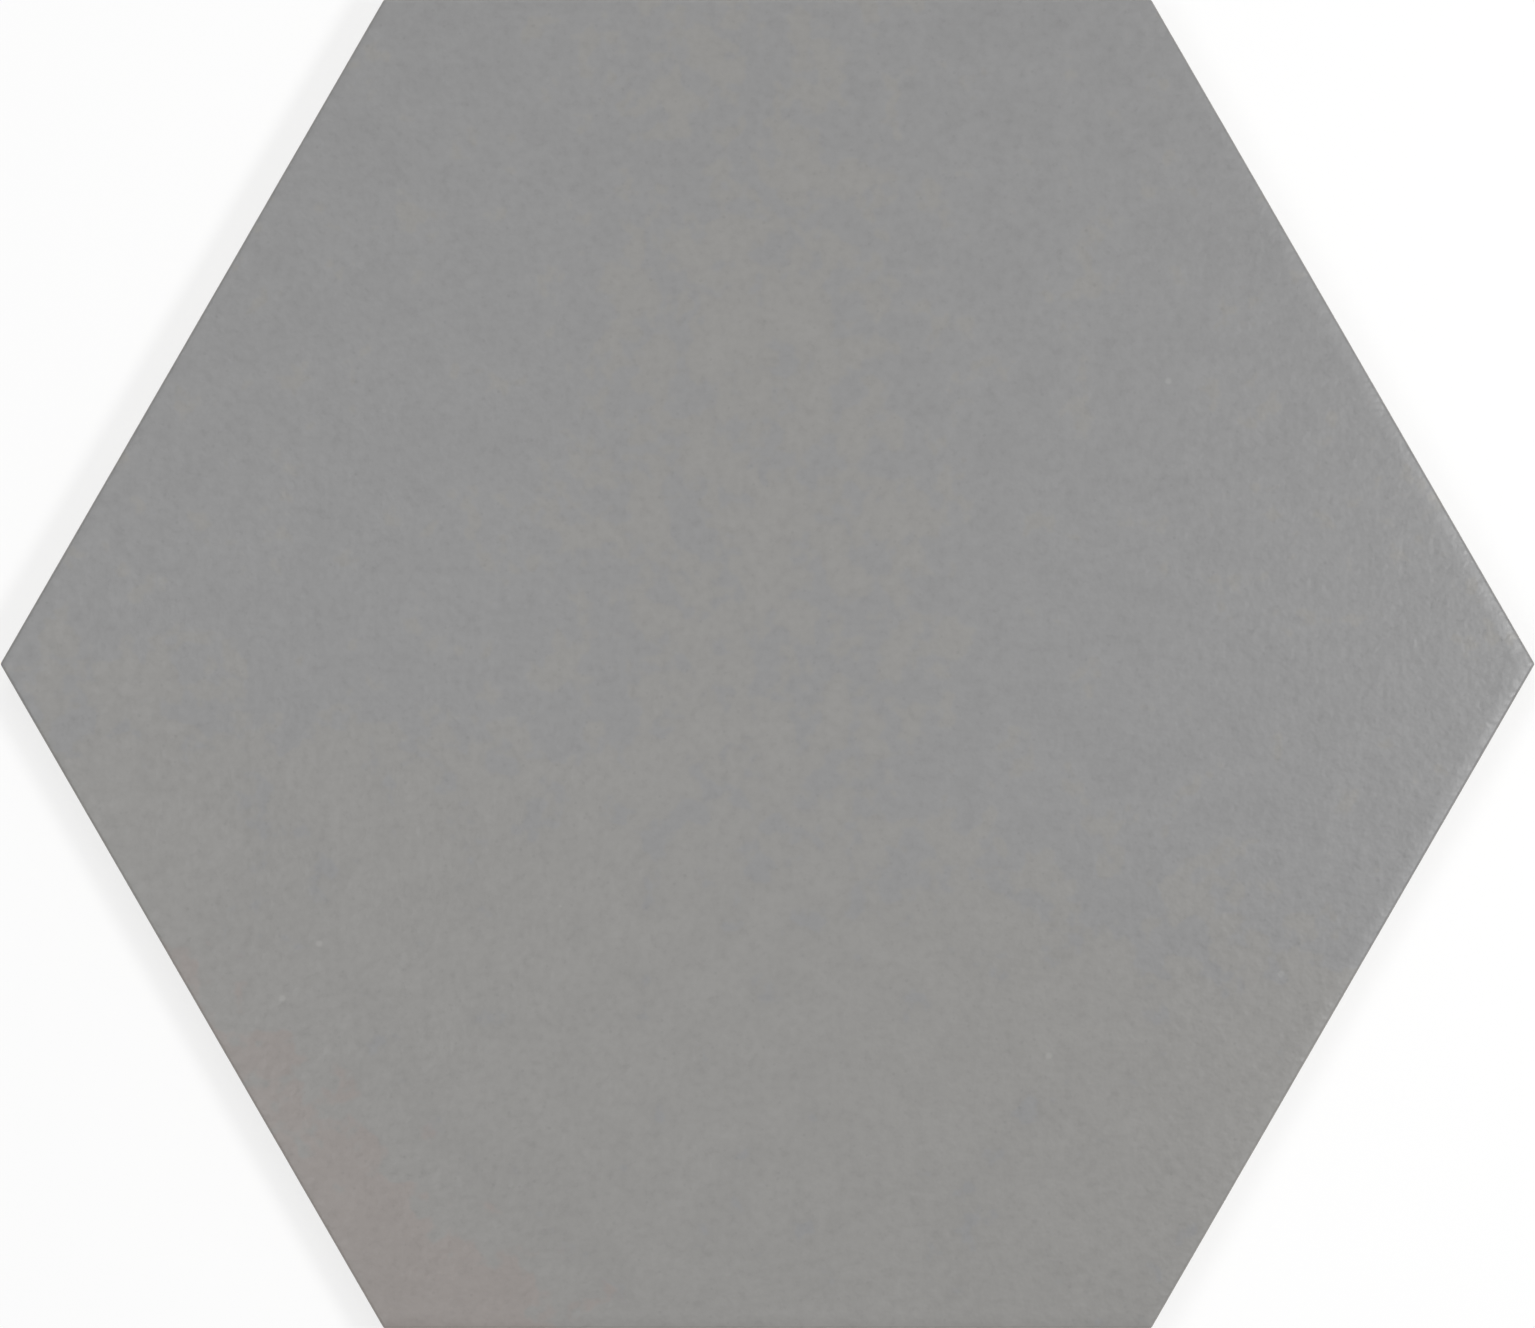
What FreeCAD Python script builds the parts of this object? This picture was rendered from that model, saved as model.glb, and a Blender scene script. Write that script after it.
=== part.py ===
import FreeCAD
import Part
import math
import os

# Hexagon floor tile: one piece of dry-pressed porcelain with a matte face, lying face up on its keyed
# back. It is a regular hexagon with corners on the X axis and flats square to the Y axis. The origin
# is the middle of the bedding plane, and +Z is the walked-on face. Sizes are in millimetres.

# Plan
across_flats = 216.5          # between two opposite sides, at their widest belt
corner_dulling = 0.12         # share of the arris radius that the die takes off each corner

# Section through a side, from the face down to the bedding plane
thickness = 9.5               # bedding plane to the flat of the face
roll_radius = 20.0            # the glazed face rolls down towards its edge on this radius
roll_end_slope = 7.0          # degrees, where that roll runs into the arris
arris_radius = 0.5
belt_bottom = 4.8             # the upright belt ends here, at the line between the two halves of the die
die_line_step = 0.25          # the lower half of the die is this much smaller on each side
back_draft = 5.0              # degrees, the lower wall leans in so that the tile leaves the die
back_edge_radius = 1.0

# Key in the back: a honeycomb of shallow cells that the adhesive fills, inside a plain border
land_width = 7.5              # from the tips of the outermost cells to the end of the bedding plane
key_rings = 9                 # rings of cells round the middle one, which set the size of a cell
rib_width = 2.0               # between two cells, on the bedding plane
cell_depth = 0.8
cell_wall_slope = 40.0        # degrees from upright, so that the punch lifts out


def polar(radius, degrees, z=0.0):
    """Point at this radius and direction in plan."""
    angle = math.radians(degrees)
    return FreeCAD.Vector(radius * math.cos(angle), radius * math.sin(angle), z)


def arc(centre_x, centre_z, radius, start, end):
    """Arc in the XZ plane between two directions, in degrees from +X towards +Z."""
    points = []
    for degrees in (start, (start + end) / 2, end):
        angle = math.radians(degrees)
        x = centre_x + radius * math.cos(angle)
        z = centre_z + radius * math.sin(angle)
        points.append(FreeCAD.Vector(x, 0, z))
    return Part.Arc(*points).toShape()


def back_half_width(half_width):
    """Half the width of the flat bedding plane of a bar whose belt is half_width from the middle."""
    lean = math.radians(back_draft)
    wall_at_plane = half_width - die_line_step - belt_bottom * math.tan(lean)
    return wall_at_plane - back_edge_radius * (1 - math.sin(lean)) / math.cos(lean)


def section_half(half_width):
    """Edges of half the section, from the middle of the face round the side to the middle of the back."""
    face_end = 90 - roll_end_slope
    slope = math.radians(roll_end_slope)
    lean = math.radians(back_draft)

    arris_x = half_width - arris_radius
    roll_x = arris_x + (arris_radius - roll_radius) * math.sin(slope)
    roll_z = thickness - roll_radius
    arris_z = roll_z + (roll_radius - arris_radius) * math.cos(slope)
    roll = arc(roll_x, roll_z, roll_radius, 90, face_end)
    arris = arc(arris_x, arris_z, arris_radius, face_end, 0)

    back_x = back_half_width(half_width)
    back_edge = arc(back_x, back_edge_radius, back_edge_radius, -back_draft, -90)
    wall_foot = FreeCAD.Vector(
        back_x + back_edge_radius * math.cos(lean), 0, back_edge_radius * (1 - math.sin(lean)))

    corners = [
        FreeCAD.Vector(half_width, 0, arris_z),
        FreeCAD.Vector(half_width, 0, belt_bottom),
        FreeCAD.Vector(half_width - die_line_step, 0, belt_bottom),
        wall_foot,
    ]
    walls = [Part.LineSegment(a, b).toShape() for a, b in zip(corners, corners[1:])]
    face = Part.LineSegment(FreeCAD.Vector(0, 0, thickness), FreeCAD.Vector(roll_x, 0, thickness)).toShape()
    back = Part.LineSegment(FreeCAD.Vector(back_x, 0, 0), FreeCAD.Vector(0, 0, 0)).toShape()
    return [face, roll, arris] + walls + [back_edge, back]


def pressed_bar(half_width, direction):
    """Long bar with the tile's whole section, its two sides facing along direction and against it."""
    half = section_half(half_width)
    other_half = [edge.mirror(FreeCAD.Vector(0, 0, 0), FreeCAD.Vector(1, 0, 0)) for edge in half]
    outline = Part.Wire(Part.__sortEdges__(half + other_half))
    length = 2 * across_flats
    bar = Part.Face(outline).extrude(FreeCAD.Vector(0, length, 0))
    bar.translate(FreeCAD.Vector(0, -length / 2, 0))
    bar.rotate(FreeCAD.Vector(0, 0, 0), FreeCAD.Vector(0, 0, 1), direction)
    return bar


def turned_disc(radius):
    """Round tile with the same section, about the Z axis."""
    middle = Part.LineSegment(FreeCAD.Vector(0, 0, 0), FreeCAD.Vector(0, 0, thickness)).toShape()
    outline = Part.Wire(Part.__sortEdges__(section_half(radius) + [middle]))
    return Part.Face(outline).revolve(FreeCAD.Vector(0, 0, 0), FreeCAD.Vector(0, 0, 1), 360)


def pressed_blank():
    """The tile before its back is keyed: what three crossed bars share, its corners dulled by a disc."""
    across_corners = across_flats / math.cos(math.radians(30))
    blank = turned_disc(across_corners / 2 - corner_dulling * arris_radius)
    # The disc's seam is turned to the middle of a side, where the bars cut it away
    blank.rotate(FreeCAD.Vector(0, 0, 0), FreeCAD.Vector(0, 0, 1), 30)
    for direction in (30, 90, 150):
        blank = blank.common(pressed_bar(across_flats / 2, direction))
    return blank


def hexagon(across, z):
    """Corners of a hexagon round the Z axis, with two of its flats square to the X axis."""
    corner_radius = across / 2 / math.cos(math.radians(30))
    return [polar(corner_radius, 30 + 60 * step, z) for step in range(6)]


def cell_across_flats():
    """Width of a cell: the rings and the tip of the outermost cell fill the plane up to the border."""
    row_of_one = math.cos(math.radians(30))
    tip_of_one = 0.5 / math.cos(math.radians(30))
    room = back_half_width(across_flats / 2) - land_width - key_rings * rib_width * row_of_one
    return room / (key_rings * row_of_one + tip_of_one)


def key_cell():
    """The punch for one cell: a hexagonal frustum that stands through the bedding plane, at the origin."""
    spread = 2 * cell_depth * math.tan(math.radians(cell_wall_slope))
    mouth = hexagon(cell_across_flats() + spread, -cell_depth)
    floor = hexagon(cell_across_flats() - spread, cell_depth)
    outlines = [mouth, floor]
    for side in range(6):
        outlines.append([mouth[side - 1], mouth[side], floor[side], floor[side - 1]])
    faces = [Part.Face(Part.makePolygon(points + points[:1])) for points in outlines]
    return Part.makeSolid(Part.makeShell(faces))


def cell_centres():
    """Middle of each cell: one, and full rings of a honeycomb round it."""
    pitch = cell_across_flats() + rib_width
    along = polar(pitch, 0)
    across = polar(pitch, 60)
    centres = []
    for i in range(-key_rings, key_rings + 1):
        for j in range(-key_rings, key_rings + 1):
            if abs(i + j) <= key_rings:
                centres.append(along * i + across * j)
    return centres


def hexagon_tile():
    """The finished tile."""
    punch = key_cell()
    cells = []
    for centre in cell_centres():
        cell = punch.copy()
        cell.translate(centre)
        cells.append(cell)
    return pressed_blank().cut(cells).removeSplitter()


os.makedirs("parts", exist_ok=True)
hexagon_tile().exportStep("parts/hexagon_tile.step")
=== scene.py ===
import math

import bpy
import numpy as np
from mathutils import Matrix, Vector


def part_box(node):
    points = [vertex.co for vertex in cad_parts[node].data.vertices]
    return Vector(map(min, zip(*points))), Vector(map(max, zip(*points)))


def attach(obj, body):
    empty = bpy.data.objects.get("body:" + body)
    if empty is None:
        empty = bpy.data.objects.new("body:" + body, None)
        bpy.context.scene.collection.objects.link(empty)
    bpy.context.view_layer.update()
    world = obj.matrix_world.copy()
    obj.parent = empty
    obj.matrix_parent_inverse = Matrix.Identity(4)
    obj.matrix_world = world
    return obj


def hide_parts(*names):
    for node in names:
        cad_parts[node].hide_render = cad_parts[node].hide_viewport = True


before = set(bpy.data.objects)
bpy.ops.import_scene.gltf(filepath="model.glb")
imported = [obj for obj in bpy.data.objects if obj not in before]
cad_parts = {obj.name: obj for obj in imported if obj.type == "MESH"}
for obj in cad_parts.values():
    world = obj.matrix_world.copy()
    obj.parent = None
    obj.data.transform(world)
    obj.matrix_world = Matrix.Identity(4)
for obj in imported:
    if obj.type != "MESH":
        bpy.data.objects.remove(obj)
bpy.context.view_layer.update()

# The tile's shape
# One hexagonal floor tile: porcelain powder pressed in a steel die, its face sprayed with a matte grey
# glaze, and fired. Die and punch leave a rolled face edge, a small step round the side and a keyed back.
mm = 0.001
cos_30 = math.cos(math.pi / 6)
tile_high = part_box("hexagon_tile")[1]
apothem = tile_high.y
corner_reach = tile_high.x
thickness = tile_high.z

roll_radius = 20.0 * mm
roll_end_slope = math.radians(7)
arris_radius = 0.5 * mm
belt_bottom = 4.8 * mm
die_line_step = 0.25 * mm
die_line_rounding = 0.06 * mm
back_draft = math.radians(5)
back_edge_radius = 1.0 * mm
inside_the_edge = 0.6 * mm

roll_rows = 7
arris_rows = 8
belt_rows = 4
wall_rows = 2
foot_rows = 6
points_per_side = 128
gathered_points = 8
strongest_gathering = 0.6


def tile_section():
    """Inset from the belt and height of each row of points, from the flat of the face round to the back.

    The roll is an arc of slopes 0 to its end slope, the arris an arc from there to upright, the belt runs
    down to the step at the die line, and the drafted wall ends in an arc down to the bedding plane. The
    last row lies on that plane, a little way inside its edge.
    """
    roll = np.linspace(0, roll_end_slope, roll_rows + 1)
    arris = np.linspace(roll_end_slope, math.pi / 2, arris_rows + 1)[1:]
    roll_inset = arris_radius + (roll_radius - arris_radius) * math.sin(roll_end_slope)
    arris_height = thickness - roll_radius + (roll_radius - arris_radius) * math.cos(roll_end_slope)
    insets = [roll_inset - roll_radius * np.sin(roll), arris_radius * (1 - np.sin(arris))]
    heights = [thickness - roll_radius * (1 - np.cos(roll)), arris_height + arris_radius * np.cos(arris)]

    belt = np.linspace(arris_height, belt_bottom + die_line_rounding, belt_rows + 1)[1:]
    insets += [np.zeros(belt_rows), [die_line_rounding, die_line_step - die_line_rounding, die_line_step]]
    heights += [belt, [belt_bottom, belt_bottom, belt_bottom - die_line_rounding]]

    foot = np.linspace(back_draft, math.pi / 2, foot_rows + 1)
    foot_inset = (die_line_step + belt_bottom * math.tan(back_draft)
                  + back_edge_radius * (1 - math.sin(back_draft)) / math.cos(back_draft))
    foot_insets = foot_inset - back_edge_radius * np.cos(foot)
    foot_heights = back_edge_radius * (1 - np.sin(foot))
    share = np.linspace(0, 1, wall_rows + 2)[1:-1]
    insets += [die_line_step + (foot_insets[0] - die_line_step) * share, foot_insets]
    heights += [belt_bottom + (foot_heights[0] - belt_bottom) * share, foot_heights]

    insets.append([foot_inset + inside_the_edge])
    heights.append([0.0])
    return np.concatenate(insets), np.concatenate(heights)


def round_the_tile(insets, gathering):
    """Plan of each row of points round the hexagon, anticlockwise from the corner on +X.

    A point u steps from its nearer corner sits K (u / K) ^ gathering steps from it, for u under K, so that
    the points gather where the hexagon turns. A row is cut to the circle that dulls the corners.
    """
    step = np.arange(points_per_side)
    from_corner = np.minimum(step, points_per_side - step)
    drawn_in = gathered_points * (from_corner / gathered_points) ** gathering[:, None]
    moved = np.where(from_corner < gathered_points, drawn_in, from_corner)
    share = np.where(step * 2 < points_per_side, moved, points_per_side - moved) / points_per_side
    angles = np.radians(60 * np.arange(7))
    corners = np.stack([np.cos(angles), np.sin(angles)], axis=1) / cos_30
    sides = corners[:-1, None] + share[:, None, :, None] * (corners[1:] - corners[:-1])[:, None]
    plan = sides.reshape(len(insets), -1, 2) * (apothem - insets)[:, None, None]
    reach = np.linalg.norm(plan, axis=2)
    cut = np.minimum(1, (corner_reach - insets)[:, None] / reach)
    return plan * cut[:, :, None]


def plane_waves(places, shortest, longest, count, seed):
    """Sum of sine waves over the places, each as high as it is long, of random direction and phase.

    The sum is divided by twice its standard deviation, so that most of it lies between -1 and 1.
    """
    draw = np.random.default_rng(seed)
    directions = draw.normal(size=(count, places.shape[1]))
    directions /= np.linalg.norm(directions, axis=1, keepdims=True)
    wavelengths = shortest * (longest / shortest) ** draw.random(count)
    phases = draw.random(count) * 2 * math.pi
    waves = np.sin(places @ (directions * (2 * math.pi / wavelengths)[:, None]).T + phases)
    return (waves * wavelengths).sum(axis=1) / math.sqrt(2 * (wavelengths ** 2).sum())


def pressed_in(plan, depth):
    """The plan with each point moved this depth towards the tile's middle: times 1 - depth / reach."""
    return plan * (1 - depth / np.linalg.norm(plan, axis=1))[:, None]


# The face is a triangular lattice of points, whose outer ring is the first row of the section
section_insets, section_heights = tile_section()
lattice_axis = np.arange(-points_per_side, points_per_side + 1)
lattice_i, lattice_j = np.meshgrid(lattice_axis, lattice_axis, indexing="ij")
on_face = np.abs(lattice_i + lattice_j) <= points_per_side
lattice_index = np.cumsum(on_face).reshape(on_face.shape) - 1
lattice_step = (apothem - section_insets[0]) / cos_30 / points_per_side
face_points = np.stack([
    (lattice_i + lattice_j / 2)[on_face] * lattice_step,
    (lattice_j * math.sqrt(3) / 2)[on_face] * lattice_step,
    np.full(on_face.sum(), thickness),
], axis=1)
here, right = np.s_[:-1, :-1], np.s_[1:, :-1]
above, across = np.s_[:-1, 1:], np.s_[1:, 1:]
pointing_up = on_face[here] & on_face[right] & on_face[above]
pointing_down = on_face[right] & on_face[across] & on_face[above]
face_triangles = np.concatenate([
    np.stack([lattice_index[part][pointing_up] for part in (here, right, above)], axis=1),
    np.stack([lattice_index[part][pointing_down] for part in (right, across, above)], axis=1),
])
lattice_corners = points_per_side * np.array([(1, 0), (0, 1), (-1, 1), (-1, 0), (0, -1), (1, -1), (1, 0)])
along_sides = (lattice_corners[1:] - lattice_corners[:-1])[:, None] * np.arange(points_per_side)[:, None]
ring_ij = (lattice_corners[:-1, None] + along_sides // points_per_side).reshape(-1, 2) + points_per_side
face_ring = lattice_index[ring_ij[:, 0], ring_ij[:, 1]]

# The edge rows follow it: the points gather towards the corners by the time that the arris begins
row_count = len(section_insets) - 1
gathering = 1 + strongest_gathering * np.clip(np.arange(1, row_count + 1) / (roll_rows + 1), 0, 1)
edge_plan = round_the_tile(section_insets[1:], gathering)
edge_heights = np.broadcast_to(section_heights[1:, None], edge_plan.shape[:2])
edge_points = np.dstack([edge_plan, edge_heights]).reshape(-1, 3)
round_count = 6 * points_per_side
edge_rows = len(face_points) + np.arange(row_count * round_count).reshape(row_count, round_count)
edge_rows = np.concatenate([face_ring[None], edge_rows])
edge_quads = np.stack([
    edge_rows[:-1],
    edge_rows[1:],
    np.roll(edge_rows[1:], -1, axis=1),
    np.roll(edge_rows[:-1], -1, axis=1),
], axis=2)
points = np.concatenate([face_points, edge_points])
inset_of_point = np.concatenate([
    np.full(len(face_points), section_insets[0]), np.repeat(section_insets[1:], round_count)])
height_of_point = points[:, 2].copy()

# The glaze lies in soft waves, which fade out over the roll
rim_depth = 1.0 * mm
fine_wave_height = 0.010 * mm
broad_wave_height = 0.040 * mm
fine_waves = plane_waves(points[:, :2], shortest=4 * mm, longest=14 * mm, count=60, seed=3)
broad_waves = plane_waves(points[:, :2], shortest=90 * mm, longest=240 * mm, count=6, seed=4)
glaze_waves = fine_wave_height * fine_waves + broad_wave_height * broad_waves
wave_fade = np.where(height_of_point > thickness - rim_depth, inset_of_point / section_insets[0], 0)
points[:, 2] -= (glaze_waves.max() - glaze_waves) * wave_fade

# The pressed side isn't quite even between its rim and its foot
side_wave_depth = 0.02 * mm
rim_fade = np.clip((thickness - height_of_point) / rim_depth, 0, 1) ** 2
side_fade = rim_fade * np.clip(height_of_point / back_edge_radius, 0, 1)
side_fade[:len(face_points)] = 0
on_side = side_fade > 0
side_waves = plane_waves(points[on_side], shortest=2.5 * mm, longest=12 * mm, count=50, seed=5)
side_depths = side_wave_depth * (1 + side_waves.clip(-1, 1)) * side_fade[on_side]
points[on_side, :2] = pressed_in(points[on_side, :2], side_depths)

# The foot is chipped where its waves are highest, and each chip grows shallower over its upper half
chip_depth = 0.28 * mm
chip_height = 1.6 * mm
chip_upright_rate = 0.4        # of how fast the chips' waves change along the foot
chip_threshold = 0.75
by_the_foot = (height_of_point < chip_height) & (inset_of_point < section_insets[-1])
chip_waves = plane_waves(
    points[by_the_foot] * (1, 1, chip_upright_rate), shortest=5 * mm, longest=14 * mm, count=40, seed=6)
chip_depths = chip_depth * np.clip(chip_waves - chip_threshold, 0, 1)
chip_depths *= np.clip(2 - height_of_point[by_the_foot] / (chip_height / 2), 0, 1)
points[by_the_foot, :2] = pressed_in(points[by_the_foot, :2], chip_depths)

# The back: the punch presses a honeycomb of shallow cells into it, which the adhesive keys into. Their
# mouths and floors are eased, and a plain border runs round them.
land_width = 7.5 * mm
key_rings = 9
rib_width = 2.0 * mm
cell_depth = 0.8 * mm
cell_wall_slope = math.radians(40)
mouth_easing = 0.25 * mm
floor_easing = 0.35 * mm
mouth_corner_cut = 1.0 * mm
wall_corner_cut = 1.1 * mm
floor_corner_cut = 1.2 * mm
floor_dish = 0.02 * mm
weld_distance = 0.001 * mm
back_apothem = apothem - section_insets[-2]
cell_width = ((back_apothem - land_width - key_rings * rib_width * cos_30)
              / (key_rings * cos_30 + 0.5 / cos_30))
cell_pitch = cell_width + rib_width
corner_angles = np.radians(30 + 60 * np.arange(6))
corner_directions = np.stack([np.cos(corner_angles), np.sin(corner_angles)], axis=1)


def cell_ring(across_flats, corner_cut, height):
    """Twelve points of a hexagon with cut corners: each corner moved this far along both of its sides."""
    corners = across_flats / 2 / cos_30 * corner_directions
    share = corner_cut / (across_flats / 2 / cos_30)
    before = corners + (np.roll(corners, 1, axis=0) - corners) * share
    after = corners + (np.roll(corners, -1, axis=0) - corners) * share
    plan = np.stack([before, after], axis=1).reshape(12, 2)
    return np.column_stack([plan, np.full(12, height)])


lean = math.tan(cell_wall_slope)
wall_start = mouth_easing * math.cos(cell_wall_slope)
wall_end = cell_depth - floor_easing * math.cos(cell_wall_slope)
one_cell = np.concatenate([
    np.column_stack([cell_pitch / 2 / cos_30 * corner_directions, np.zeros(6)]),
    cell_ring(cell_width + 2 * mouth_easing, mouth_corner_cut, 0.0),
    cell_ring(cell_width - 2 * wall_start * lean, mouth_corner_cut, wall_start),
    cell_ring(cell_width - 2 * wall_end * lean, wall_corner_cut, wall_end),
    cell_ring(cell_width - 2 * (cell_depth * lean + floor_easing), floor_corner_cut, cell_depth),
    [[0.0, 0.0, cell_depth + floor_dish]],
])
mouth_ring, wall_top_ring, wall_foot_ring, floor_ring, floor_middle = 6 + 12 * np.arange(5)
corner, twelfth = np.arange(6), np.arange(12)
next_corner, next_twelfth = (corner + 1) % 6, (twelfth + 1) % 12
rib_tops = np.stack([
    corner, mouth_ring + 1 + 2 * corner, mouth_ring + 2 * next_corner, next_corner], axis=1)
cell_quads = np.concatenate([rib_tops] + [
    np.stack([ring + twelfth, ring + 12 + twelfth, ring + 12 + next_twelfth, ring + next_twelfth], axis=1)
    for ring in (mouth_ring, wall_top_ring, wall_foot_ring)])
cell_triangles = np.concatenate([
    np.stack([corner, mouth_ring + 2 * corner, mouth_ring + 1 + 2 * corner], axis=1),
    np.stack([floor_ring + twelfth, np.full(12, floor_middle), floor_ring + next_twelfth], axis=1),
])
cell_axis = np.arange(-key_rings, key_rings + 1)
cell_i, cell_j = np.meshgrid(cell_axis, cell_axis, indexing="ij")
kept = np.abs(cell_i + cell_j) <= key_rings
cell_centres = cell_pitch * np.stack([
    (cell_i + cell_j / 2)[kept], (cell_j * cos_30)[kept], np.zeros(kept.sum())], axis=1)
key_points = (cell_centres[:, None] + one_cell).reshape(-1, 3)
first_of_cell = len(one_cell) * np.arange(len(cell_centres))[:, None, None]
key_quads = (first_of_cell + cell_quads).reshape(-1, 4)
key_triangles = (first_of_cell + cell_triangles).reshape(-1, 3)

# Three cells meet at a rib corner, but fewer do along the honeycomb's outline
first_seen, shared_index = np.unique(
    np.round(key_points / weld_distance).astype(np.int64), axis=0, return_index=True, return_inverse=True)[1:]
shared_index = shared_index.ravel()
key_points = key_points[first_seen]
key_quads, key_triangles = shared_index[key_quads], shared_index[key_triangles]
uses = np.bincount(shared_index, minlength=len(key_points))
is_rib_corner = np.isin(np.arange(len(key_points)), shared_index.reshape(-1, len(one_cell))[:, corner])
border = np.flatnonzero(is_rib_corner & (uses < 3))
border_turn = np.arctan2(key_points[border, 1], key_points[border, 0]) % (2 * math.pi)
border = border[np.argsort(border_turn)]
border_turn = np.sort(border_turn)

# The plain border is laced between the honeycomb's outline and the innermost row of the edge
inner_row = edge_rows[-1]
inner_turn = np.arctan2(points[inner_row, 1], points[inner_row, 0]) % (2 * math.pi)
next_border_turn = np.append(border_turn[1:], border_turn[0] + 2 * math.pi)
nearest = np.searchsorted((border_turn + next_border_turn) / 2, inner_turn) % len(border)
next_nearest = np.roll(nearest, -1)
steps_on = np.flatnonzero(nearest != next_nearest)
border_index = border + len(points)
towards_key = np.stack([np.roll(inner_row, -1), inner_row, border_index[nearest]], axis=1)
towards_edge = np.stack([
    np.roll(inner_row, -1)[steps_on],
    border_index[nearest[steps_on]],
    border_index[next_nearest[steps_on]],
], axis=1)

# One closed mesh of three materials: the face and its rolled edge, the side from the belt down, the back
first_side_row = roll_rows + arris_rows
glazed_faces = face_triangles.tolist() + edge_quads[:first_side_row].reshape(-1, 4).tolist()
side_faces = edge_quads[first_side_row:].reshape(-1, 4).tolist()
back_faces = np.concatenate([towards_key, towards_edge]).tolist()
back_faces += (key_quads + len(points)).tolist() + (key_triangles + len(points)).tolist()
face_counts = [len(glazed_faces), len(side_faces), len(back_faces)]
tile_points = np.concatenate([points, key_points])
tile_mesh = bpy.data.meshes.new("porcelain_tile")
tile_mesh.from_pydata(tile_points.tolist(), [], glazed_faces + side_faces + back_faces)
tile_mesh.polygons.foreach_set("material_index", np.repeat([0, 1, 2], face_counts))
tile_mesh.polygons.foreach_set("use_smooth", np.ones(len(tile_mesh.polygons), bool))
tile_mesh.update()


# The face and its rolled edge: a matte glaze, sprayed and fired, with a fine eggshell grain, soft clouds
# of tone and the odd dark or pale fleck. Painted warm light makes it warmer over its lower half and middle
# and faintly pink by one corner, painted shade darkens it to both sides of a band up the middle, and it is
# paler where it is thin on the arris, a tone that is also painted light over the arris's shade.
def linear(red, green, blue):
    """Light share of each channel of a screen colour of 0 to 255: ((c + 0.055) / 1.055) ^ 2.4."""
    return tuple(((channel / 255 + 0.055) / 1.055) ** 2.4 for channel in (red, green, blue)) + (1.0,)


def set_inputs(tree, node, inputs):
    """Each named or numbered input of the node takes a value, or a link from another node's output."""
    for name, value in inputs.items():
        if isinstance(value, bpy.types.NodeSocket):
            tree.links.new(value, node.inputs[name])
        else:
            node.inputs[name].default_value = value


def add_node(tree, kind, inputs=None, **settings):
    """Node of this kind, with these settings and inputs."""
    node = tree.nodes.new("ShaderNode" + kind)
    for name, value in settings.items():
        setattr(node, name, value)
    set_inputs(tree, node, inputs or {})
    return node


def combine(tree, operation, first, second):
    """Output of a Math node."""
    return add_node(tree, "Math", {0: first, 1: second}, operation=operation).outputs[0]


def product(tree, *values):
    """The values multiplied by Math nodes, from the first to the last."""
    result = values[0]
    for value in values[1:]:
        result = combine(tree, "MULTIPLY", result, value)
    return result


def graded(tree, value, over, gives=(0.0, 1.0)):
    """Output of a Map Range node: a smooth step from the first result to the second, over this stretch."""
    return add_node(tree, "MapRange", {
        "Value": value, "From Min": over[0], "From Max": over[1], "To Min": gives[0], "To Max": gives[1],
    }, interpolation_type="SMOOTHSTEP").outputs[0]


def mixed(tree, share, first, second):
    """Output of a colour Mix node."""
    return add_node(tree, "Mix", {0: share, 6: first, 7: second}, data_type="RGBA").outputs[2]


def shaded(tree, colour, shade):
    """The colour times the shade."""
    return add_node(tree, "VectorMath", {0: colour, "Scale": shade}, operation="SCALE").outputs[0]


def noise(tree, place, scale, detail=2.0, roughness=0.5):
    """Output of a Noise Texture, whose scale is in features per metre."""
    return add_node(tree, "TexNoise", {
        "Vector": place, "Scale": scale, "Detail": detail, "Roughness": roughness}).outputs[0]


def stretched(tree, place, scale):
    """The place, scaled along each axis."""
    return add_node(tree, "Mapping", {"Vector": place, "Scale": scale}).outputs[0]


def height_of(tree, place):
    """The place's Z."""
    return add_node(tree, "SeparateXYZ", {0: place}).outputs["Z"]


def along(tree, place, direction):
    """How far the place lies along this direction: their dot product."""
    return add_node(tree, "VectorMath", {0: place, 1: direction}, operation="DOT_PRODUCT").outputs["Value"]


def distance_from(tree, place, point):
    """Length of the line from the point to the place."""
    return add_node(tree, "VectorMath", {0: place, 1: point}, operation="DISTANCE").outputs["Value"]


def flecks(tree, place, scale, size, presence):
    """Mask of round dots: within size of the middle of the Voronoi cells whose random value is highest.

    The scale is in cells per metre, the size in cells, and the presence is the share of cells with a dot.
    """
    cells = add_node(tree, "TexVoronoi", {"Vector": place, "Scale": scale})
    dot = graded(tree, cells.outputs["Distance"], over=(size, 0.4 * size))
    random_value = add_node(tree, "SeparateColor", {0: cells.outputs["Color"]}).outputs[0]
    return product(tree, dot, graded(tree, random_value, over=(1 - presence, 1.02 - presence)))


def shared_effect(name, inputs, outputs):
    """New node group with a Place input, these inputs as name: default, and these outputs as name: kind.

    With it come what its inputs give, and the node that takes its outputs.
    """
    group = bpy.data.node_groups.new(name, "ShaderNodeTree")
    kinds = {float: "NodeSocketFloat", tuple: "NodeSocketColor"}
    group.interface.new_socket("Place", in_out="INPUT", socket_type="NodeSocketVector")
    for socket_name, default in inputs.items():
        socket = group.interface.new_socket(socket_name, in_out="INPUT", socket_type=kinds[type(default)])
        socket.default_value = default
    for socket_name, kind in outputs.items():
        group.interface.new_socket(socket_name, in_out="OUTPUT", socket_type=kinds[kind])
    return group, group.nodes.new("NodeGroupInput").outputs, group.nodes.new("NodeGroupOutput")


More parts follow.
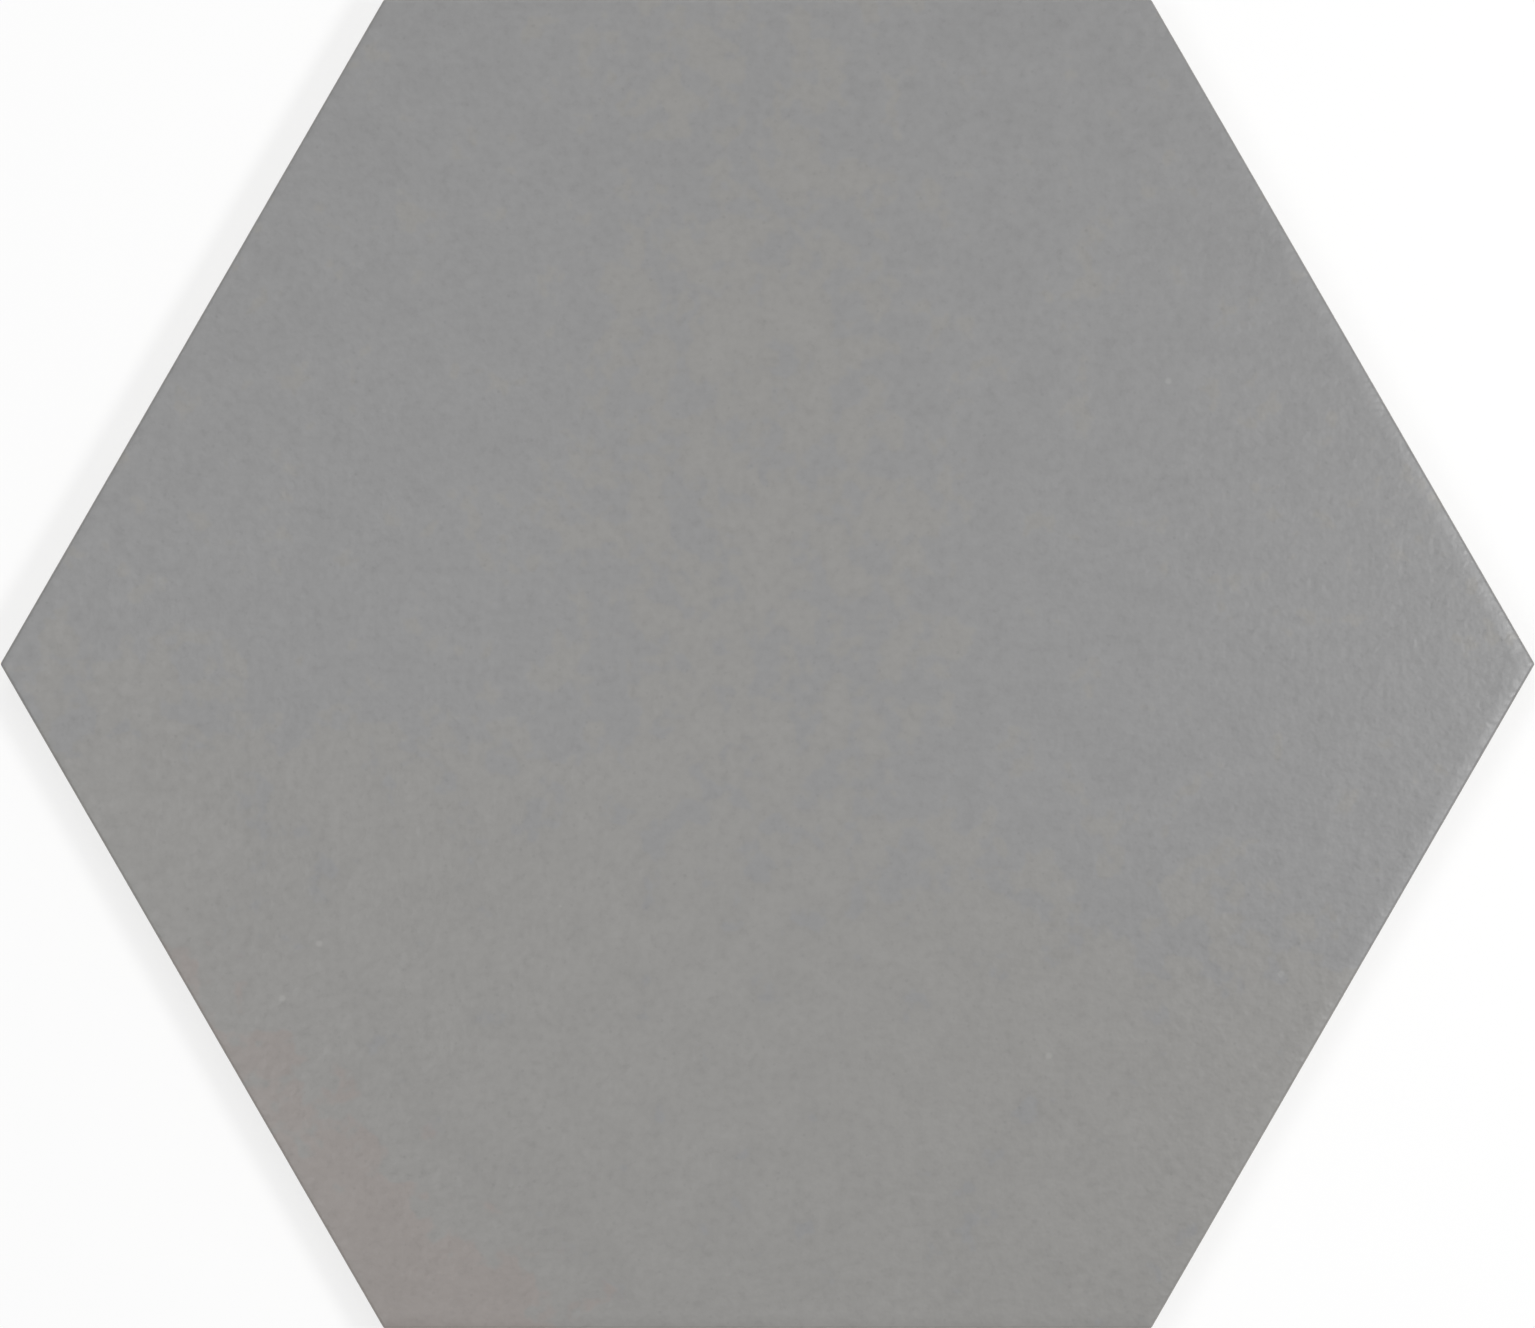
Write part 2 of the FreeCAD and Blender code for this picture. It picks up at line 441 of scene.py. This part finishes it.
noise_spread = (0.3, 0.7)        # most of a Noise Texture's values lie in here
glaze_skin, given, wanted = shared_effect(
    "glaze_skin",
    inputs={
        "Tone": linear(140.05, 140.0, 140.2),
        "Warm Light Tone": linear(141.8, 140.6, 138.3),
        "Pink Light Tone": linear(146.1, 140.0, 136.5),
        "Thin And Lit Tone": linear(176, 172, 164),
        "Grain Height": 0.065 * mm,
    },
    outputs={"Colour": tuple, "Roughness": float, "Height": float})
tree, place = glaze_skin, given["Place"]

# Painted warm light: it is warm low down and up the middle, and flushed pink by one corner, and patches
# make the borders ragged
patches = noise(tree, place, scale=160, detail=2, roughness=0.6)
low_down = graded(tree, along(tree, place, (0.23, 1.0, 0.0)), over=(-3 * mm, -51 * mm), gives=(-0.2, 1.3))
from_middle = distance_from(tree, stretched(tree, place, (1.0, 0.25, 0.0)), (-3 * mm, -2.5 * mm, 0.0))
up_the_middle = graded(tree, from_middle, over=(48 * mm, 12 * mm), gives=(-0.2, 0.78))
warmest = combine(tree, "MAXIMUM", low_down, up_the_middle)
painted_warm_light = combine(tree, "ADD", warmest, product(tree, patches, 4.5))
tone = mixed(tree, graded(tree, painted_warm_light, over=(2.55, 2.95)), given["Tone"], given["Warm Light Tone"])
towards_corner = along(tree, place, (0.67, 0.745, 0.0))
by_the_corner = combine(tree, "ADD", towards_corner, product(tree, patches, 45 * mm))
# Painted warm light: a pink flush by the lower-left corner
tone = mixed(tree, graded(tree, by_the_corner, over=(-77 * mm, -82 * mm)), tone, given["Pink Light Tone"])

# Clouds, the grain and its dark pits shade it, and painted shade darkens it to both sides of a band
# up the middle, to even out the lamps' light
clouds = graded(tree, noise(tree, place, scale=160, detail=4), over=noise_spread, gives=(0.976, 1.024))
grain = noise(tree, place, scale=620, detail=3, roughness=0.6)
grain_shade = graded(tree, grain, over=noise_spread, gives=(0.964, 1.025))
grain_pits = graded(tree, grain, over=(0.42, 0.30), gives=(1.0, 0.965))
# Painted shade: the tone falls off to both sides of a band up the middle
from_band = combine(tree, "ABSOLUTE", along(tree, place, (1.0, 0.13, 0.0)), 0.0)
painted_shade_band = graded(tree, from_band, over=(0.0, 119 * mm), gives=(1.003, 0.972))
tone = shaded(tree, tone, product(tree, clouds, grain_shade, grain_pits, painted_shade_band))

dark_fleck_tone = linear(90, 90, 92)
pale_fleck_tone = linear(205, 204, 200)
dark_flecks = flecks(tree, place, scale=480, size=0.18, presence=0.5)
pale_flecks = flecks(tree, place, scale=60, size=0.035, presence=0.3)
tone = mixed(tree, product(tree, dark_flecks, 0.11), tone, dark_fleck_tone)
tone = mixed(tree, product(tree, pale_flecks, 0.3), tone, pale_fleck_tone)

arris_centre = thickness - arris_radius
from_arris = combine(tree, "ABSOLUTE", combine(tree, "SUBTRACT", height_of(tree, place), arris_centre), 0.0)
# Paler where the glaze is thin on the arris, and painted light that lifts the arris's shade
thin_glaze_and_lit = graded(tree, from_arris, over=(0.35 * mm, 0.1 * mm), gives=(0.0, 0.45))
sheen_patches = noise(tree, place, scale=420)
eggshell = noise(tree, place, scale=800, detail=1)
set_inputs(tree, wanted, {
    "Colour": mixed(tree, thin_glaze_and_lit, tone, given["Thin And Lit Tone"]),
    "Roughness": graded(tree, sheen_patches, over=noise_spread, gives=(0.33, 0.40)),
    "Height": product(tree, eggshell, given["Grain Height"]),
})


def new_material(name):
    """Material with its node tree, its place on the tile, and its shader."""
    material = bpy.data.materials.new(name)
    material.use_nodes = True
    tree = material.node_tree
    return material, tree, add_node(tree, "TexCoord").outputs["Object"], tree.nodes["Principled BSDF"]


def placed(tree, group, place, inputs=None):
    """Outputs of a shared effect set into a material."""
    return add_node(tree, "Group", {"Place": place, **(inputs or {})}, node_tree=group).outputs


def relief(tree, height):
    """Output of a Bump node: the normal of a surface with this height in metres."""
    return add_node(tree, "Bump", {"Height": height, "Distance": 1.0}).outputs[0]


glazed_face, tree, place, shader = new_material("matte_grey_glaze")
glaze = placed(tree, glaze_skin, place)
tone = glaze["Colour"]
coarse_grains = (-73.0, -45.5), (45.8, -63.8), (65.3, 46.1), (83.6, -50.5), (-79.0, -54.4)
for grain_x, grain_y in coarse_grains:
    from_grain = distance_from(tree, place, (grain_x * mm, grain_y * mm, thickness))
    coarse_grain = graded(tree, from_grain, over=(0.75 * mm, 0.25 * mm), gives=(0.0, 0.12))
    tone = mixed(tree, coarse_grain, tone, pale_fleck_tone)
set_inputs(tree, shader, {
    "Base Color": tone,
    "Roughness": glaze["Roughness"],
    "Normal": relief(tree, glaze["Height"]),
})

# The bare side: pale fired porcelain, dragged upright as the tile left the die, with spray and runs of
# glaze down to an uneven line
fired_body, given, wanted = shared_effect(
    "fired_body",
    inputs={"Tone": linear(190, 184, 173), "Grit Height": 0.04 * mm},
    outputs={"Colour": tuple, "Roughness": float, "Height": float})
tree, place = fired_body, given["Place"]
grit = noise(tree, place, scale=2000, detail=4, roughness=0.7)
pores = flecks(tree, place, scale=1100, size=0.2, presence=0.16)
stains = noise(tree, place, scale=70, detail=4, roughness=0.6)
shade = product(
    tree,
    graded(tree, stains, over=noise_spread, gives=(0.95, 1.03)),
    graded(tree, grit, over=noise_spread, gives=(0.93, 1.05)),
    graded(tree, pores, over=(0.0, 1.0), gives=(1.0, 0.82)))
iron_spots = flecks(tree, place, scale=260, size=0.14, presence=0.12)
iron_spot_tone = linear(104, 88, 74)
surface = combine(tree, "SUBTRACT", grit, product(tree, pores, 0.8))
set_inputs(tree, wanted, {
    "Colour": mixed(tree, product(tree, iron_spots, 0.5), shaded(tree, given["Tone"], shade), iron_spot_tone),
    "Roughness": graded(tree, grit, over=noise_spread, gives=(0.86, 0.72)),
    "Height": product(tree, surface, given["Grit Height"]),
})

# Kiln wash is a white powder, which comes off the kiln's rollers in bands and patches. It thins out
# upwards, and ends where its reach does.
kiln_wash, given, wanted = shared_effect(
    "kiln_wash",
    inputs={"Reach": 0.05 * mm},
    outputs={"Mask": float, "Height": float})
tree, place = kiln_wash, given["Place"]
low = graded(tree, combine(tree, "DIVIDE", height_of(tree, place), given["Reach"]), over=(1.0, 0.0))
roller_bands = noise(tree, stretched(tree, place, (55.0, 9.0, 0.0)), scale=1.0)
patches = combine(tree, "ADD", noise(tree, place, scale=130, detail=4, roughness=0.65), roller_bands)
coverage = product(tree, low, graded(tree, patches, over=(0.85, 1.2)))
powder = noise(tree, place, scale=1900, detail=3, roughness=0.7)
set_inputs(tree, wanted, {"Mask": coverage, "Height": product(tree, powder, coverage, 0.03 * mm)})

bare_side, tree, place, shader = new_material("fired_side")
glaze = placed(tree, glaze_skin, place)
body = placed(tree, fired_body, place)
wash = placed(tree, kiln_wash, place, {"Reach": 2.4 * mm})
drag_lines = noise(tree, stretched(tree, place, (700.0, 700.0, 35.0)), scale=1.0, detail=3, roughness=0.6)
body_colour = shaded(tree, body["Colour"], graded(tree, drag_lines, over=noise_spread, gives=(0.93, 1.04)))
body_colour = mixed(tree, product(tree, wash["Mask"], 0.6), body_colour, linear(222, 220, 214))
body_height = combine(tree, "ADD", body["Height"], product(tree, drag_lines, 0.03 * mm))

lowest_glaze = 7.2 * mm
glaze_thickness = 0.06 * mm
runs = noise(tree, stretched(tree, place, (1.0, 1.0, 0.0)), scale=160, detail=3, roughness=0.6)
glaze_line = combine(tree, "ADD", lowest_glaze, product(tree, runs, 1.0 * mm))
above_line = combine(tree, "SUBTRACT", height_of(tree, place), glaze_line)
spray = product(
    tree,
    flecks(tree, place, scale=900, size=0.3, presence=0.5),
    graded(tree, above_line, over=(-1.8 * mm, 0.0)),
    0.6)
glazed = combine(tree, "MAXIMUM", graded(tree, above_line, over=(-0.15 * mm, 0.2 * mm)), spray)
glaze_height = combine(tree, "ADD", glaze["Height"], glaze_thickness)
side_roughness = add_node(tree, "Mix", {0: glazed, 2: body["Roughness"], 3: glaze["Roughness"]}).outputs[0]
side_height = add_node(tree, "Mix", {0: glazed, 2: body_height, 3: glaze_height}).outputs[0]
set_inputs(tree, shader, {
    "Base Color": mixed(tree, glazed, body_colour, glaze["Colour"]),
    "Roughness": side_roughness,
    "Normal": relief(tree, side_height),
})

# The keyed back: the same fired body, its ribs and border dusted with the wash that keeps tiles off the
# kiln's rollers
keyed_back, tree, place, shader = new_material("keyed_back")
body = placed(tree, fired_body, place, {"Grit Height": 0.05 * mm})
wash = placed(tree, kiln_wash, place)
set_inputs(tree, shader, {
    "Base Color": mixed(tree, product(tree, wash["Mask"], 0.75), body["Colour"], linear(226, 224, 219)),
    "Roughness": body["Roughness"],
    "Normal": relief(tree, combine(tree, "ADD", body["Height"], wash["Height"])),
})

for material in (glazed_face, bare_side, keyed_back):
    tile_mesh.materials.append(material)

tile = bpy.data.objects.new("porcelain_tile", tile_mesh)
bpy.context.scene.collection.objects.link(tile)
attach(tile, "root")
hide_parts("hexagon_tile")

# The stage: a pale studio floor under a pale surround. Both look white to the camera, but for the tile's
# shadow on the floor, and they light the tile at a plain level.
floor_half = 3.0
floor_mesh = bpy.data.meshes.new("studio_floor")
floor_mesh.from_pydata([
    (-floor_half, -floor_half, 0),
    (floor_half, -floor_half, 0),
    (floor_half, floor_half, 0),
    (-floor_half, floor_half, 0),
], [], [(0, 1, 2, 3)])
floor_material, tree, place, shader = new_material("pale_floor")
seen = add_node(tree, "LightPath").outputs["Is Camera Ray"]
from_tile = add_node(tree, "VectorMath", {0: place}, operation="LENGTH").outputs["Value"]
whitening = (0.25, 0.9)        # metres from the tile's middle
seen_tone = mixed(tree, graded(tree, from_tile, over=whitening), linear(149, 149, 149), linear(0, 0, 0))
seen_glow = graded(tree, from_tile, over=whitening, gives=(0.7, 1.0))
set_inputs(tree, shader, {
    "Roughness": 0.9,
    "Specular IOR Level": 0.1,
    "Base Color": mixed(tree, seen, linear(247, 247, 247), seen_tone),
    "Emission Color": (1, 1, 1, 1),
    "Emission Strength": product(tree, seen, seen_glow),
})
floor_mesh.materials.append(floor_material)
floor = bpy.data.objects.new("studio_floor", floor_mesh)
bpy.context.scene.collection.objects.link(floor)

surround_level = 0.345
seen_level = 1.0
world = bpy.data.worlds.new("pale_surround")
world.use_nodes = True
tree = world.node_tree
seen = add_node(tree, "LightPath").outputs["Is Camera Ray"]
set_inputs(tree, tree.nodes["Background"], {
    "Strength": graded(tree, seen, over=(0.0, 1.0), gives=(surround_level, seen_level)),
    "Color": (1, 1, 1, 1),
})
bpy.context.scene.world = world


# A soft key lamp hangs to the tile's right, a wider fill to its left, and another fill towards +Y
def soft_lamp(name, distance, from_zenith, turn, size, watts):
    """Square lamp aimed at the tile, at this distance, angle from straight above and turn from +X."""
    zenith_angle, turn_angle = math.radians(from_zenith), math.radians(turn)
    lamp_data = bpy.data.lights.new(name, "AREA")
    lamp_data.size = size
    lamp_data.energy = watts
    lamp = bpy.data.objects.new(name, lamp_data)
    lamp.rotation_euler = (0, zenith_angle, turn_angle)
    lamp.location = distance * np.array([
        math.sin(zenith_angle) * math.cos(turn_angle),
        math.sin(zenith_angle) * math.sin(turn_angle),
        math.cos(zenith_angle)])
    bpy.context.scene.collection.objects.link(lamp)


soft_lamp("key_lamp", distance=0.9, from_zenith=29, turn=0, size=0.20, watts=3.15)
soft_lamp("left_fill", distance=1.0, from_zenith=18.6, turn=189, size=0.42, watts=1.83)
soft_lamp("back_fill", distance=1.45, from_zenith=34.6, turn=98, size=0.40, watts=2.96)

# The camera looks straight down, from where the tile's corners just fill the picture's width
corners_fill = 0.9993
camera_data = bpy.data.cameras.new("camera")
camera_data.sensor_width = 36
camera_data.lens = 200
camera = bpy.data.objects.new("camera", camera_data)
half_view = camera_data.sensor_width / 2 / camera_data.lens
camera.location = (0, 0, arris_centre + corner_reach / half_view / corners_fill)
bpy.context.scene.collection.objects.link(camera)
bpy.context.scene.camera = camera
bpy.context.scene.view_settings.view_transform = "Standard"
